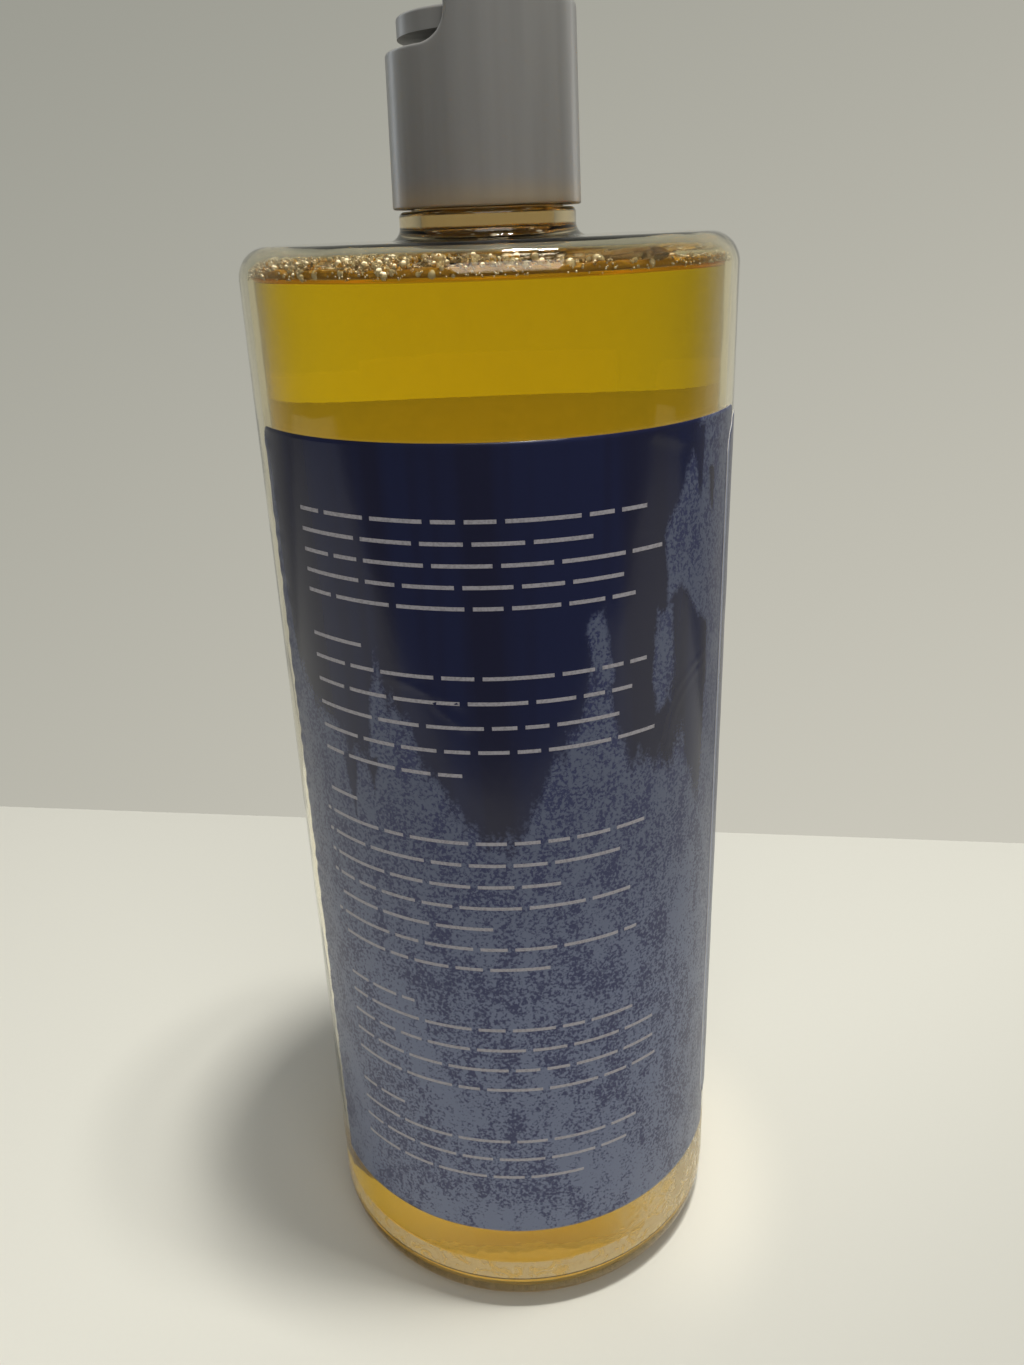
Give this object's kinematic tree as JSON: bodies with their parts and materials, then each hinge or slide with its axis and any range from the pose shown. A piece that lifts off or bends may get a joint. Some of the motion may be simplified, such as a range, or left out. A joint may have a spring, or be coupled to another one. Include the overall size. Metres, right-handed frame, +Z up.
{
  "type": "soap bottle",
  "caption": "Clear round bottle of amber liquid soap with a head of foam, two wrapped labels and a screw cap with a tilting press disc and side spout.",
  "frame": {"origin": "centre of the base, on the surface that the bottle stands on", "axes": "+Z up along the bottle, -Y through the middle of the back label, -X through the cap's press notch, +X along the spout"},
  "size_m": [0.0834, 0.0834, 0.2359],
  "materials": {
    "clear_plastic": "clear gloss",
    "liquid_soap": "clear amber liquid",
    "foam": "fine clear bubbles",
    "back_label_film": "glossy dark blue film with a pale haze",
    "front_label_film": "glossy dark blue film",
    "liner_foam": "white foam sheet",
    "cap_plastic": "satin grey moulding",
    "disc_plastic": "satin grey moulding"
  },
  "bodies": {
    "bottle": {"bottle": "clear_plastic", "soap": "liquid_soap", "foam": "foam", "back_label": "back_label_film", "front_label": "front_label_film"},
    "liner": {"seal_liner": "liner_foam"},
    "cap": {"cap_body": "cap_plastic"},
    "disc": {"press_disc": "disc_plastic"}
  },
  "joints": [
    {"name": "cap_lift", "type": "slide", "parent": "bottle", "child": "liner", "axis": [0, 0, 1], "range_m": [0, 0.00635]},
    {"name": "cap_turn", "type": "hinge", "parent": "liner", "child": "cap", "pos_m": [0, 0, 0.2155], "axis": [0, 0, 1], "range_deg": [0, 540]},
    {"name": "disc_tilt", "type": "hinge", "parent": "cap", "child": "disc", "pos_m": [0, 0, 0.23285], "axis": [0, -1, 0], "range_deg": [0, 22]}
  ],
  "couplings": [
    {"joint": "cap_lift", "follows": "cap_turn", "m_per_rad": 0.0006737}
  ]
}
